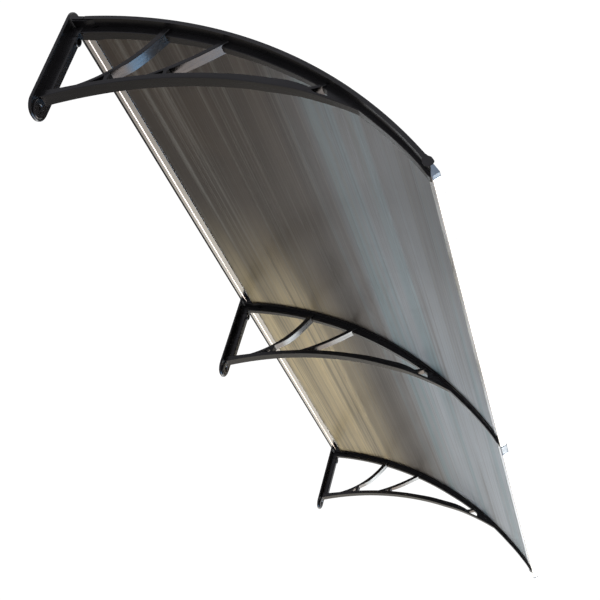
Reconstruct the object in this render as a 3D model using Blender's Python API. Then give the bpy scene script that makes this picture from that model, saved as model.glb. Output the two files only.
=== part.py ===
"""Door and window awning: three one-piece moulded brackets carry a curved
sheet canopy between a rear and a front aluminium bar.

Frame: the wall is the plane y = 0 and the canopy reaches out along -Y.
X runs along the wall, +Z is up, and the origin is the centre of the back
face of the middle bracket's wall plate.  Metres throughout.

Profiles are written in (s, z), where s = -y is the distance from the wall.
Points near the front bar use (u, n): u along the canopy's tangent, n square
to it, measured from the cover's top surface at s = FRONT_S.
"""
import bpy
import bmesh
import math
from mathutils import Vector

# ------------------------------------------------------------------ sizes
PITCH = 1.460              # bracket to bracket
ARC_R = 1.250              # radius of the cover's top surface
ARC_S = 0.125              # where the arc is highest, from the wall
ARC_TOP = 0.1375           # height of that highest line
COVER_T = 0.0025           # cover strip
GAP = 0.0003               # clearance between touching pieces
SHEET_T = 0.0045           # canopy sheet
FLANGE_T = 0.0030          # flange of the upper arm
COVER_HW = 0.0355          # half width of cover and flange
SKIRT_X = 0.0380           # outer face of the end covers' skirts
RIB_HW = 0.0100            # half width of the rib below the flange
ARM_HW = 0.0165            # half width of lower arm and struts
SEAM_HW = 0.0040           # half the space between the sheets at the middle

LOW_S, LOW_Z = 0.440, -0.0290      # highest line of the lower arm's underside
LOW_R_IN, LOW_R_OUT = 1.200, 1.040 # its radius towards the wall and outwards

PLATE_HW = 0.0400
PLATE_T = 0.0070
PLATE_Z0, PLATE_Z1 = -0.1625, 0.1630
PLATE_R0, PLATE_R1 = 0.0360, 0.0300
PILLAR_HW = 0.0125
PILLAR_S = 0.0310
HOLE_LOW_Z, HOLE_UP_Z = -0.1350, 0.0840
HOLE_R = 0.0045

REAR_S0, REAR_S1 = 0.0118, 0.0475  # rear bar, from and to
REAR_Z0, REAR_Z1 = 0.1245, 0.1342
FRONT_S = 1.034            # where the front bar's frame is taken
BAR_END = 0.0225           # the bars stop this far past the end brackets
SHEET_REAR_S = 0.0318
SHEET_FRONT_U = 0.0055

SCREW_S = (0.115, 0.360, 0.610, 0.880)
SCREW_HEAD_R, SCREW_HEAD_H = 0.0048, 0.0028
SCREW_R, SCREW_L = 0.0021, 0.0170

SEG = 28                   # steps along the canopy's arc

ARC_Z = ARC_TOP - ARC_R
R_SHEET_OUT = ARC_R - COVER_T - GAP
R_SHEET_IN = R_SHEET_OUT - SHEET_T
R_FLANGE_OUT = R_SHEET_IN - GAP
R_FLANGE_IN = R_FLANGE_OUT - FLANGE_T

# -------------------------------------------------------------- geometry


def arc_z(radius, s):
    """Height of the canopy's arc of this radius, at distance s."""
    return ARC_Z + math.sqrt(radius * radius - (s - ARC_S) ** 2)


def arc_point(radius, angle):
    return ARC_S + radius * math.sin(angle), ARC_Z + radius * math.cos(angle)


def arc_angle(s, radius=ARC_R):
    return math.asin((s - ARC_S) / radius)


FRONT_A = arc_angle(FRONT_S)
FRONT_Z = arc_z(ARC_R, FRONT_S)


def front(u, n):
    """A point of the front bar's frame, as (s, z)."""
    ca, sa = math.cos(FRONT_A), math.sin(FRONT_A)
    return FRONT_S + u * ca + n * sa, FRONT_Z - u * sa + n * ca


def low_under(s):
    """Height of the lower arm's underside."""
    radius = LOW_R_IN if s < LOW_S else LOW_R_OUT
    z = LOW_Z - radius + math.sqrt(radius * radius - (s - LOW_S) ** 2)
    return z - blend(((0.58, 0.0037), (0.68, 0.0)), s)


def blend(table, s):
    """Read a dimension that changes evenly between a few stations."""
    if s <= table[0][0]:
        return table[0][1]
    for (a, va), (b, vb) in zip(table, table[1:]):
        if s <= b:
            t = (s - a) / (b - a)
            t = t * t * (3 - 2 * t)
            return va + (vb - va) * t
    return table[-1][1]


RIB_DEPTH = ((0.35, 0.0285), (0.60, 0.0272), (0.72, 0.0245),
             (0.80, 0.0205), (0.88, 0.0200), (1.01, 0.0172))
LOW_THICK = ((0.00, 0.0225), (0.05, 0.0155), (0.10, 0.0142),
             (0.20, 0.0140), (0.30, 0.0150), (0.44, 0.0160),
             (0.55, 0.0195), (0.64, 0.0212), (0.69, 0.0180),
             (0.712, 0.0066), (0.760, 0.0075))
LOW_HW = ((0.10, 0.0186), (0.25, 0.0174), (0.42, 0.0166), (0.58, 0.0154),
          (0.88, RIB_HW))


def spread(a, b, count):
    return [a + (b - a) * i / count for i in range(count + 1)]


def smooth_between(p0, p1, sag, count):
    """Points on an arc from p0 to p1 that sags by this much to the right."""
    (ax, az), (bx, bz) = p0, p1
    length = math.hypot(bx - ax, bz - az)
    tx, tz = (bx - ax) / length, (bz - az) / length
    radius = (length * length / 4 + sag * sag) / (2 * sag)
    half = math.asin(length / 2 / radius)
    cx = (ax + bx) / 2 - tz * (radius - sag)
    cz = (az + bz) / 2 + tx * (radius - sag)
    points = []
    for t in spread(-half, half, count):
        dx, dz = math.sin(t) * radius, -math.cos(t) * radius
        points.append((cx + tx * dx - tz * dz, cz + tz * dx + tx * dz))
    return points


# ---------------------------------------------------------------- meshes


def new_mesh(name, verts, faces):
    mesh = bpy.data.meshes.new(name)
    mesh.from_pydata([tuple(v) for v in verts], [], faces)
    work = bmesh.new()
    work.from_mesh(mesh)
    bmesh.ops.recalc_face_normals(work, faces=work.faces)
    work.to_mesh(mesh)
    work.free()
    mesh.update()
    return mesh


def loft(name, rings):
    """A closed body through rings of equal point count, with flat ends."""
    count = len(rings[0])
    verts = [p for ring in rings for p in ring]
    faces = [tuple(reversed(range(count)))]
    for i in range(len(rings) - 1):
        for j in range(count):
            k = (j + 1) % count
            faces.append((i * count + j, i * count + k,
                          (i + 1) * count + k, (i + 1) * count + j))
    last = (len(rings) - 1) * count
    faces.append(tuple(range(last, last + count)))
    return new_mesh(name, verts, faces)


def bar_ring(top, bottom, x0, x1, c):
    """One section of a bar between two (s, z) points, corners chamfered."""
    (ts, tz), (bs, bz) = top, bottom
    length = math.hypot(ts - bs, tz - bz)
    ns, nz = (ts - bs) / length, (tz - bz) / length

    def at(x, d):
        return x, -(bs + ns * d), bz + nz * d
    if c <= 0:
        return [at(x1, length), at(x1, 0), at(x0, 0), at(x0, length)]
    return [at(x1 - c, length), at(x1, length - c), at(x1, c), at(x1 - c, 0),
            at(x0 + c, 0), at(x0, c), at(x0, length - c), at(x0 + c, length)]


def ribbon(name, stations, c=0.0008):
    """A bar along (top, bottom, half width) stations."""
    return loft(name, [bar_ring(t, b, -hw, hw, c) for t, b, hw in stations])


def along(points, thick, hw, taper=None):
    """Stations for a bar of even thickness hanging under a line of points."""
    stations = []
    for i, (s, z) in enumerate(points):
        a = points[max(i - 1, 0)]
        b = points[min(i + 1, len(points) - 1)]
        length = math.hypot(b[0] - a[0], b[1] - a[1])
        ts, tz = (b[0] - a[0]) / length, (b[1] - a[1]) / length
        t = thick if taper is None else thick * taper(i / (len(points) - 1))
        stations.append(((s, z), (s + tz * t, z - ts * t), hw))
    return stations


def prism_x(name, outline, x0, x1, c=0.0):
    """An (s, z) outline drawn out along X, its end edges chamfered by c."""
    if c <= 0:
        return loft(name, [[(x, -s, z) for s, z in outline] for x in (x0, x1)])
    inner = inset(outline, c)
    return loft(name, [[(x0, -s, z) for s, z in inner],
                       [(x0 + c, -s, z) for s, z in outline],
                       [(x1 - c, -s, z) for s, z in outline],
                       [(x1, -s, z) for s, z in inner]])


def inset(outline, c):
    """Move each corner of a closed outline inwards by c."""
    area = sum(a[0] * b[1] - b[0] * a[1]
               for a, b in zip(outline, outline[1:] + outline[:1]))
    turn = 1 if area > 0 else -1
    result = []
    count = len(outline)
    for i, p in enumerate(outline):
        a, b = outline[i - 1], outline[(i + 1) % count]
        e1 = Vector((p[0] - a[0], p[1] - a[1])).normalized()
        e2 = Vector((b[0] - p[0], b[1] - p[1])).normalized()
        n1 = Vector((-e1.y, e1.x)) * turn
        n2 = Vector((-e2.y, e2.x)) * turn
        m = n1 + n2
        m = m * (c / max(0.3, m.dot(n1)))
        result.append((p[0] + m.x, p[1] + m.y))
    return result


def rounded(corners, steps=4):
    """An outline through (a, b, radius) corners, with rounded corners."""
    outline = []
    count = len(corners)
    for i, (px, pz, radius) in enumerate(corners):
        if radius <= 0:
            outline.append((px, pz))
            continue
        a, b = corners[i - 1], corners[(i + 1) % count]
        p = Vector((px, pz))
        e1 = (Vector(a[:2]) - p).normalized()
        e2 = (Vector(b[:2]) - p).normalized()
        half = e1.angle(e2) / 2
        reach = radius / math.tan(half)
        centre = p + (e1 + e2).normalized() * (radius / math.sin(half))
        start, end = p + e1 * reach - centre, p + e2 * reach - centre
        a0 = math.atan2(start.y, start.x)
        sweep = math.atan2(end.y, end.x) - a0
        while sweep > math.pi:
            sweep -= 2 * math.pi
        while sweep < -math.pi:
            sweep += 2 * math.pi
        for t in spread(a0, a0 + sweep, steps):
            outline.append((centre.x + radius * math.cos(t),
                            centre.y + radius * math.sin(t)))
    return outline


def turned(name, profile, sides=16):
    """A round body about local Z from (radius, height) pairs, axis ends."""
    verts, faces = [(0, 0, profile[0][1]), (0, 0, profile[-1][1])], []
    for r, h in profile:
        for k in range(sides):
            a = 2 * math.pi * k / sides
            verts.append((r * math.cos(a), r * math.sin(a), h))
    for k in range(sides):
        m = (k + 1) % sides
        faces.append((0, 2 + m, 2 + k))
        for i in range(len(profile) - 1):
            faces.append((2 + i * sides + k, 2 + i * sides + m,
                          2 + (i + 1) * sides + m, 2 + (i + 1) * sides + k))
        last = 2 + (len(profile) - 1) * sides
        faces.append((1, last + k, last + m))
    return new_mesh(name, verts, faces)


def place_obj(name, mesh):
    obj = bpy.data.objects.new(name, mesh)
    bpy.context.scene.collection.objects.link(obj)
    return obj


def y_round(name, profile, x, z, sides=24):
    """A turned body whose axis runs out from the wall: (radius, s) pairs."""
    mesh = turned(name, profile, sides)
    for v in mesh.vertices:
        a, b, h = v.co
        v.co = (x + a, -h, z + b)
    work = bmesh.new()
    work.from_mesh(mesh)
    bmesh.ops.recalc_face_normals(work, faces=work.faces)
    work.to_mesh(mesh)
    work.free()
    return mesh


def radial_round(name, profile, x, s, sides=16):
    """A turned body on the canopy's normal at s: heights from the cover's top."""
    mesh = turned(name, profile, sides)
    a = arc_angle(s)
    sp, zp = arc_point(ARC_R, a)
    for v in mesh.vertices:
        p, q, h = v.co
        v.co = (x + p, -(sp + q * math.cos(a) + h * math.sin(a)),
                zp - q * math.sin(a) + h * math.cos(a))
    work = bmesh.new()
    work.from_mesh(mesh)
    bmesh.ops.recalc_face_normals(work, faces=work.faces)
    work.to_mesh(mesh)
    work.free()
    return mesh


def combine(name, base, added=(), cut=()):
    """Join meshes to a base and cut others out of it, as one new mesh."""
    body = place_obj(name + "_base", base)
    helpers = [body]
    for kind, meshes in (("UNION", added), ("DIFFERENCE", cut)):
        for mesh in meshes:
            tool = place_obj(name + "_tool", mesh)
            tool.hide_render = True
            tool.display_type = "WIRE"
            helpers.append(tool)
            step = body.modifiers.new(kind.lower(), "BOOLEAN")
            step.operation = kind
            step.solver = "EXACT"
            step.object = tool
    bpy.context.view_layer.update()
    graph = bpy.context.evaluated_depsgraph_get()
    result = bpy.data.meshes.new_from_object(body.evaluated_get(graph))
    result.name = name
    for helper in helpers:
        bpy.data.objects.remove(helper, do_unlink=True)
    work = bmesh.new()
    work.from_mesh(result)
    bmesh.ops.remove_doubles(work, verts=work.verts, dist=0.00002)
    bmesh.ops.dissolve_degenerate(work, dist=0.00001, edges=work.edges)
    bmesh.ops.triangulate(work, faces=[f for f in work.faces if len(f.verts) > 4])
    work.to_mesh(result)
    work.free()
    result.update()
    return result


# -------------------------------------------------------------- materials


def material(name, colour, roughness, metallic=0.0, transmission=0.0):
    mat = bpy.data.materials.new(name)
    mat.use_nodes = True
    shader = mat.node_tree.nodes["Principled BSDF"]
    shader.inputs["Base Color"].default_value = (*colour, 1.0)
    shader.inputs["Roughness"].default_value = roughness
    shader.inputs["Metallic"].default_value = metallic
    shader.inputs["Transmission Weight"].default_value = transmission
    mat.diffuse_color = (*colour, 1.0)
    return mat


def add_part(name, mesh, mat, x=0.0, smooth=True):
    if smooth:
        mesh.shade_smooth()
        mesh.set_sharp_from_angle(angle=math.radians(32))
    if not mesh.materials:
        mesh.materials.append(mat)
    obj = place_obj(name, mesh)
    obj.location = (x, 0.0, 0.0)
    return obj


# ------------------------------------------------------------ the bracket


def flange_mesh():
    end = front(-0.0262, 0.0)[0]
    stations = []
    for a in spread(arc_angle(0.0640), arc_angle(end), SEG):
        stations.append((arc_point(R_FLANGE_OUT, a),
                         arc_point(R_FLANGE_IN, a), COVER_HW))
    return ribbon("flange", stations, 0.0)


def seat_mesh():
    """The flange's inner end, set lower to pass under the rear bar."""
    floor = REAR_Z0 - 0.0004
    stations = [((0.0150, floor), (0.0150, floor - 0.0032), COVER_HW - 0.0003),
                ((0.0530, floor), (0.0530, floor - 0.0032), COVER_HW - 0.0003)]
    for s, lift in ((0.0620, 0.5), (0.0760, 1.0)):
        top = arc_z(R_FLANGE_OUT - 0.0004, s)
        top = floor + (top - floor) * lift
        stations.append(((s, top), (s, top - 0.0034), COVER_HW - 0.0003))
    return ribbon("seat", stations, 0.0)


def rib_mesh():
    end = front(-0.0268, 0.0)[0]
    stations = []
    for s in spread(0.0035, end, SEG - 1):
        a = arc_angle(s)
        depth = blend(RIB_DEPTH, s)
        top = arc_point(R_FLANGE_OUT - 0.0010, a)
        if s < 0.075:
            top = (top[0], min(top[1], REAR_Z0 - 0.0012))
        stations.append((top, arc_point(ARC_R - depth, a), RIB_HW))
    return ribbon("rib", stations, 0.0012)


def lower_arm_mesh():
    stations = []
    for s in spread(0.0030, 0.640, 22) + spread(0.664, 0.760, 6):
        z = low_under(s)
        stations.append(((s, z + blend(LOW_THICK, s)), (s, z),
                         blend(LOW_HW, s)))
    return ribbon("lower_arm", stations, 0.0014)


def merge_mesh():
    """Where the two arms run into one another, short of the front bar."""
    stations = []
    for s, lean in ((0.750, 0.0125), (0.775, 0.0), (0.800, 0.0),
                    (0.828, 0.0), (0.862, 0.0)):
        top = s - lean
        stations.append(((top, arc_z(R_FLANGE_OUT - 0.0012, top)),
                         (s, low_under(s) + 0.0002),
                         blend(LOW_HW, s) - 0.0002))
    return ribbon("merge", stations, 0.0014)


def strut_meshes():
    """Three struts that leave the lower arm and rise to the upper one."""
    long_one = smooth_between((0.0450, -0.0880), (0.2720, 0.1192), 0.0334, 15)
    mid_one = smooth_between((0.2500, -0.0395), (0.4455, 0.0858), 0.0085, 10)
    short_one = smooth_between((0.6875, -0.0492), (0.7355, -0.0325), 0.0020, 4)
    flare = lambda t, a, b: (1.0 + 0.25 * max(0.0, (t - 0.85) / 0.15) ** 2
                             - 0.42 * min(1.0, max(0.0, (b - t) / (b - a))))
    hw = ARM_HW - 0.0005
    first = along(long_one, 0.0142, hw + 0.0012,
                  lambda t: flare(t, 0.48, 0.60))
    first[-1] = ((0.2722, 0.1196), (0.2900, 0.1171), hw + 0.0012)
    second = along(mid_one, 0.0114, hw, lambda t: flare(t, 0.30, 0.42))
    second[-1] = ((0.4457, 0.0862), (0.4610, 0.0819), hw)
    return [ribbon("strut_1", first, 0.0014),
            ribbon("strut_2", second, 0.0014),
            ribbon("strut_3", along(short_one, 0.0080, 0.0146), 0.0012)]


def web_meshes():
    """Short ties between the struts' roots and the lower arm."""
    hw = ARM_HW - 0.0010
    web_1 = [((0.1600, -0.0340), (0.1750, -0.0270), hw),
             ((0.1622, -0.0420), (0.1728, -0.0420), hw),
             ((0.1620, -0.0490), (0.1732, -0.0490), hw),
             ((0.1580, -0.0575), (0.1780, -0.0565), hw)]
    web_2 = [((0.3150, -0.0100), (0.3300, -0.0060), hw),
             ((0.3168, -0.0175), (0.3268, -0.0175), hw),
             ((0.3165, -0.0240), (0.3272, -0.0240), hw),
             ((0.3120, -0.0335), (0.3320, -0.0335), hw)]
    return [ribbon("web_1", web_1, 0.0010), ribbon("web_2", web_2, 0.0010)]


def plate_mesh():
    outline = rounded([(-PLATE_HW, PLATE_Z0, PLATE_R0),
                       (PLATE_HW, PLATE_Z0, PLATE_R0),
                       (PLATE_HW, PLATE_Z1, PLATE_R1),
                       (-PLATE_HW, PLATE_Z1, PLATE_R1)], 8)
    inner = inset(outline, 0.0022)
    return loft("plate", [[(x, 0.0, z) for x, z in outline],
                          [(x, -(PLATE_T - 0.0022), z) for x, z in outline],
                          [(x, -PLATE_T, z) for x, z in inner]])


def pillar_mesh():
    """The upright between the two arms, standing out from the plate."""
    stations = [((PILLAR_S + 0.0020, -0.0965), (0.0035, -0.0965), PILLAR_HW),
                ((PILLAR_S, -0.0750), (0.0035, -0.0750), PILLAR_HW),
                ((PILLAR_S, 0.095), (0.0030, 0.095), PILLAR_HW),
                ((PILLAR_S + 0.0060, 0.1210), (0.0030, 0.1210), PILLAR_HW)]
    return ribbon("pillar", stations, 0.0025)


def toe_mesh():
    """The rib's end, which reaches under the front bar's lower lip."""
    corners = [(-0.0600, -0.0110, 0), (-0.0264, -0.0100, 0),
               (-0.0262, -0.0103, 0), (0.0056, -0.0103, 0.0010),
               (0.0056, -0.0168, 0.0035), (-0.0060, -0.0186, 0.0200),
               (-0.0600, -0.0166, 0)]
    outline = [front(u, n) for u, n in rounded(corners, 4)]
    return prism_x("toe", outline, -RIB_HW + 0.0002, RIB_HW - 0.0002, 0.0010)


def bracket_mesh():
    added = [seat_mesh(), rib_mesh(), lower_arm_mesh(), merge_mesh()]
    added += strut_meshes() + web_meshes()
    added += [plate_mesh(), pillar_mesh(),
              y_round("boss_low", [(0.0252, 0.0028), (0.0252, 0.0102),
                                   (0.0238, 0.0118)], 0, HOLE_LOW_Z, 20),
              y_round("boss_up", [(0.0142, 0.0040), (0.0142, PILLAR_S + 0.0020),
                                  (0.0128, PILLAR_S + 0.0036)], 0, HOLE_UP_Z, 18),
              toe_mesh()]
    cut = [y_round("hole_low", [(HOLE_R, -0.01), (HOLE_R, 0.05)],
                   0, HOLE_LOW_Z, 12),
           y_round("recess_low", [(0.0095, 0.0100), (0.0118, 0.0121),
                                  (0.0118, 0.0300)], 0, HOLE_LOW_Z, 20),
           y_round("hole_up", [(HOLE_R, -0.01), (HOLE_R, 0.06)],
                   0, HOLE_UP_Z, 12),
           y_round("recess_up", [(0.0085, 0.0260), (0.0092, 0.0600)],
                   0, HOLE_UP_Z, 16)]
    for s in SCREW_S:
        cut.append(radial_round("pilot", [(SCREW_R + 0.0003, 0.004),
                                          (SCREW_R + 0.0003, -SCREW_L - 0.001)],
                                0, s, 8))
    return combine("bracket", flange_mesh(), added, cut)


# ------------------------------------------------------- sheets and covers


def sheet_mesh(name, x0, x1, screw_x):
    a0 = arc_angle(SHEET_REAR_S)
    a1 = FRONT_A + SHEET_FRONT_U / ARC_R
    rings = []
    for a in spread(a0, a1, SEG):
        (so, zo), (si, zi) = arc_point(R_SHEET_OUT, a), arc_point(R_SHEET_IN, a)
        rings.append([(x0, -so, zo), (x1, -so, zo), (x1, -si, zi), (x0, -si, zi)])
    body = loft(name, rings)
    holes = [radial_round("hole", [(SCREW_R + 0.0006, 0.01),
                                   (SCREW_R + 0.0006, -0.02)], screw_x, s, 10)
             for s in SCREW_S]
    return combine(name, body, (), holes)


def cover_mesh(name, side):
    """Cover strip; side is -1 or 1 for the ends' skirted ones, 0 for middle."""
    a0, a1 = arc_angle(0.0485), arc_angle(front(-0.0262, 0)[0])
    rings = []
    for a in spread(a0, a1, SEG):
        out, under = arc_point(ARC_R, a), arc_point(ARC_R - COVER_T, a)
        foot = arc_point(R_FLANGE_IN, a)
        if side == 0:
            rings.append([(-COVER_HW, -out[0], out[1]),
                          (COVER_HW, -out[0], out[1]),
                          (COVER_HW, -under[0], under[1]),
                          (-COVER_HW, -under[0], under[1])])
            continue
        e, k = SKIRT_X * side, COVER_HW * side
        inn = (COVER_HW + GAP) * side
        rings.append([(-k, -out[0], out[1]), (e, -out[0], out[1]),
                      (e, -foot[0], foot[1]), (inn, -foot[0], foot[1]),
                      (inn, -under[0], under[1]), (-k, -under[0], under[1])])
    body = loft(name, rings)
    holes = [radial_round("hole", [(SCREW_R + 0.0004, 0.01),
                                   (SCREW_R + 0.0004, -0.02)], 0, s, 10)
             for s in SCREW_S]
    added = ()
    if side:
        corners = [(-0.0320, 0.0005, 0), (-0.0250, 0.0018, 0),
                   (-0.0180, 0.0058, 0.004), (-0.0040, 0.0052, 0.006),
                   (0.0004, -0.0020, 0.004), (0.0004, -0.0110, 0.004),
                   (-0.0060, -0.0175, 0.004), (-0.0180, -0.0178, 0.003),
                   (-0.0320, -0.0100, 0)]
        outline = [front(u, n) for u, n in rounded(corners, 4)]
        lo, hi = sorted(((COVER_HW + GAP) * side, SKIRT_X * side))
        added = (prism_x("nose", outline, lo, hi, 0.0006),)
    return combine(name, body, added, holes)


def screw_mesh():
    """A pan-head screw standing on the cover, heights from its top."""
    r, h = SCREW_HEAD_R, SCREW_HEAD_H
    return [(0.0006, -SCREW_L), (SCREW_R, -SCREW_L + 0.0020),
            (SCREW_R, GAP), (r, GAP), (r * 0.95, h * 0.55), (r * 0.55, h)]


# ------------------------------------------------------------------- bars


def tube_prism(name, outer, inner, x0, x1):
    body = prism_x(name, outer, x0, x1)
    if not inner:
        return body
    hollow = prism_x("hollow", inner, x0 - 0.01, x1 + 0.01)
    return combine(name, body, (), (hollow,))


def rear_outline():
    top_out = arc_z(R_SHEET_OUT + GAP, REAR_S1)
    low_in = arc_z(R_SHEET_IN - GAP, SHEET_REAR_S) - 0.0001
    return [(REAR_S0, REAR_Z0 + 0.0030), (REAR_S0 + 0.0014, REAR_Z0 + 0.0012),
            (0.0150, REAR_Z0 + 0.0003), (0.0240, REAR_Z0), (0.0340, REAR_Z0),
            (0.0400, REAR_Z0 + 0.0003), (REAR_S1 - 0.0010, REAR_Z0 + 0.0006),
            (REAR_S1, REAR_Z0 + 0.0014), (REAR_S1, low_in),
            (SHEET_REAR_S - 0.0008, low_in),
            (SHEET_REAR_S - 0.0008, top_out), (REAR_S1, top_out),
            (REAR_S1, top_out + 0.0012), (REAR_S1 - 0.0010, top_out + 0.0017),
            (REAR_S0 + 0.0012, REAR_Z1), (REAR_S0, REAR_Z1 - 0.0012)]


def rear_hollow():
    return rounded([(REAR_S0 + 0.0020, REAR_Z0 + 0.0025, 0.0008),
                    (SHEET_REAR_S - 0.0030, REAR_Z0 + 0.0022, 0.0008),
                    (SHEET_REAR_S - 0.0030, REAR_Z1 - 0.0019, 0.0008),
                    (REAR_S0 + 0.0020, REAR_Z1 - 0.0019, 0.0008)], 2)


BOX_U0, BOX_U1, BOX_N0, BOX_N1 = 0.0070, 0.0257, -0.0202, -0.0004
BOX_KNEE_N = -0.0108
SLOT_N0, SLOT_N1 = -0.0080, -0.0023


def front_outline():
    corners = [(-0.0250, BOX_N1 - 0.0004, 0.0004), (-0.0240, BOX_N1, 0),
               (BOX_U1, BOX_N1, 0.0016), (BOX_U1, BOX_N0, 0.0030),
               (BOX_U1 - 0.0040, BOX_N0, 0.0030), (BOX_U0, BOX_KNEE_N, 0.0004),
               (BOX_U0, SLOT_N0 - 0.0017, 0),
               (-0.0250, SLOT_N0 - 0.0017, 0.0005), (-0.0250, SLOT_N0, 0),
               (BOX_U0 - 0.0006, SLOT_N0, 0), (BOX_U0 - 0.0006, SLOT_N1, 0),
               (-0.0250, SLOT_N1, 0)]
    return [front(u, n) for u, n in rounded(corners, 4)]


def front_hollow(shrink=0.0):
    w = 0.0018 + shrink
    corners = [(BOX_U1 - 0.0038 + shrink * 0.5, BOX_N0 + w, 0.0012),
               (BOX_U1 - w, BOX_N0 + w, 0.0010),
               (BOX_U1 - w, BOX_N1 - w, 0.0012), (BOX_U0 + w, BOX_N1 - w, 0.0008),
               (BOX_U0 + w, BOX_KNEE_N + 0.0012 + shrink * 0.8, 0.0008)]
    return [front(u, n) for u, n in rounded(corners, 3)]


def sleeve_outline():
    """A C-shaped clip around the outside of the front bar's box."""
    corners = [(-0.0120, BOX_N1 + GAP, 0), (BOX_U1 + GAP, BOX_N1 + GAP, 0.0018),
               (BOX_U1 + GAP, BOX_N0 - GAP, 0.0032),
               (BOX_U1 - 0.0030, BOX_N0 - GAP, 0),
               (BOX_U1 - 0.0030, BOX_N0 - 0.0018, 0.0006),
               (BOX_U1 + 0.0017, BOX_N0 - 0.0018, 0.0036),
               (BOX_U1 + 0.0017, BOX_N1 + 0.0018, 0.0030),
               (-0.0120, BOX_N1 + 0.0018, 0.0010)]
    return [front(u, n) for u, n in rounded(corners, 4)]


# ------------------------------------------------------------------ build


def main():
    for obj in list(bpy.data.objects):
        bpy.data.objects.remove(obj, do_unlink=True)

    black = material("black_plastic", (0.012, 0.012, 0.014), 0.28)
    cap = material("grey_plastic", (0.10, 0.12, 0.15), 0.25)
    smoke = material("smoked_sheet", (0.20, 0.17, 0.14), 0.15, 0.0, 0.6)
    metal = material("aluminium", (0.82, 0.82, 0.80), 0.25, 1.0)
    steel = material("steel", (0.60, 0.60, 0.62), 0.30, 1.0)
    rubber = material("rubber", (0.02, 0.02, 0.02), 0.70)

    ends = {"left": -PITCH, "middle": 0.0, "right": PITCH}
    sides = {"left": -1, "middle": 0, "right": 1}

    shape = bracket_mesh()
    for name, x in ends.items():
        add_part("bracket_" + name, shape, black, x)
    for name, x in ends.items():
        add_part("cover_" + name, cover_mesh("cover_" + name, sides[name]),
                 black, x)

    profile = screw_mesh()
    for i, s in enumerate(SCREW_S):
        shape = radial_round("cover_screw", profile, 0.0, s, 10)
        for name, x in ends.items():
            add_part("screw_%s_%d" % (name, i + 1), shape, steel, x)

    reach = PITCH + COVER_HW - 0.0002
    add_part("sheet_left", sheet_mesh("sheet_left", -reach, -SEAM_HW, -PITCH),
             smoke)
    add_part("sheet_right", sheet_mesh("sheet_right", SEAM_HW, reach, PITCH),
             smoke)

    # The bars meet at the middle bracket with a hairline gap.
    tip = PITCH + COVER_HW - 0.0010
    bar = PITCH + BAR_END
    for name, side in (("left", -1), ("right", 1)):
        lo, hi = sorted((side * 0.0002, side * tip))
        add_part("rear_bar_" + name,
                 tube_prism("rear_bar", rear_outline(), rear_hollow(), lo, hi),
                 metal)
        lo, hi = sorted((side * 0.0002, side * bar))
        add_part("front_bar_" + name,
                 tube_prism("front_bar", front_outline(), front_hollow(), lo, hi),
                 metal)

    # The front bars meet in an outer sleeve, the rear bars on an inner one.
    add_part("front_bar_joiner",
             prism_x("joiner", sleeve_outline(), -0.0330, 0.0330), cap)
    add_part("rear_bar_joiner",
             prism_x("joiner", inset(rear_hollow(), GAP), -0.050, 0.050, 0.0003),
             cap)

    # End caps: a plate over the end and a plug inside the tube.
    for name, side in (("left", -1), ("right", 1)):
        lo, hi = sorted((side * (bar + GAP), side * (PITCH + SKIRT_X)))
        block = [(BOX_U1 - 0.0040, BOX_N0, 0.0026), (BOX_U1, BOX_N0, 0.0020),
                 (BOX_U1, BOX_N1, 0.0014), (BOX_U0 - 0.0012, BOX_N1, 0.0008),
                 (BOX_U0 - 0.0012, BOX_KNEE_N, 0.0008)]
        block = [front(u, n) for u, n in rounded(block, 4)]
        flap = [(0.0008, -0.0084, 0.0010), (BOX_U0 + 0.004, -0.0128, 0),
                (BOX_U0 + 0.004, -0.0006, 0), (0.0008, -0.0006, 0.0010)]
        flap = [front(u, n) for u, n in rounded(flap, 3)]
        f0, f1 = sorted((side * (PITCH + COVER_HW + GAP),
                         side * (PITCH + SKIRT_X - 0.0003)))
        p0, p1 = sorted((side * (bar - 0.018), side * (bar + 0.004)))
        plug = prism_x("plug", front_hollow(GAP), p0, p1)
        body = combine("front_bar_cap", prism_x("block", block, lo, hi, 0.0004),
                       (plug, prism_x("flap", flap, f0, f1)))
        add_part("front_bar_cap_" + name, body, cap)

        outline = rear_outline()
        end = [p for i, p in enumerate(outline) if i not in (8, 9, 10, 11)]
        lo, hi = sorted((side * (tip + GAP), side * (PITCH + SKIRT_X)))
        p0, p1 = sorted((side * (tip - 0.018), side * (tip + 0.001)))
        plug = prism_x("plug", inset(rear_hollow(), GAP), p0, p1)
        notch_box = [(SHEET_REAR_S - 0.0008, 0.120), (0.060, 0.120),
                     (0.060, 0.140), (SHEET_REAR_S - 0.0008, 0.140)]
        n0, n1 = sorted((side * (tip - 0.01), side * (reach + GAP)))
        body = combine("rear_bar_cap", prism_x("plate", end, lo, hi),
                       (plug,), (prism_x("notch", notch_box, n0, n1),))
        add_part("rear_bar_cap_" + name, body, black)

        # Soft strip between the rear bar and the wall, plate to plate; its
        # lower lip shows as a dark line beside the bar.
        seal = [(0.0006, 0.1385), (0.0042, 0.1330), (0.0056, 0.1262),
                (0.0062, 0.1256), (0.0108, 0.1256), (0.0114, 0.1262),
                (0.0114, 0.1330), (0.0060, 0.1378), (0.0006, 0.1440)]
        lo, hi = sorted((side * (PLATE_HW + 0.001),
                         side * (PITCH - PLATE_HW - 0.001)))
        add_part("wall_seal_" + name, prism_x("seal", seal, lo, hi), rubber)


main()
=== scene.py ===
"""Looks for the awning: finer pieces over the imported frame, procedural
materials, soft studio light and a camera below and beside the awning.

Same frame as the part: wall plane y = 0, canopy towards -Y, +Z up, metres.
Profiles are in (s, z) with s = -y, and near the front bar in (u, n).
"""
import math

import bmesh
import bpy
from mathutils import Matrix, Vector


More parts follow.
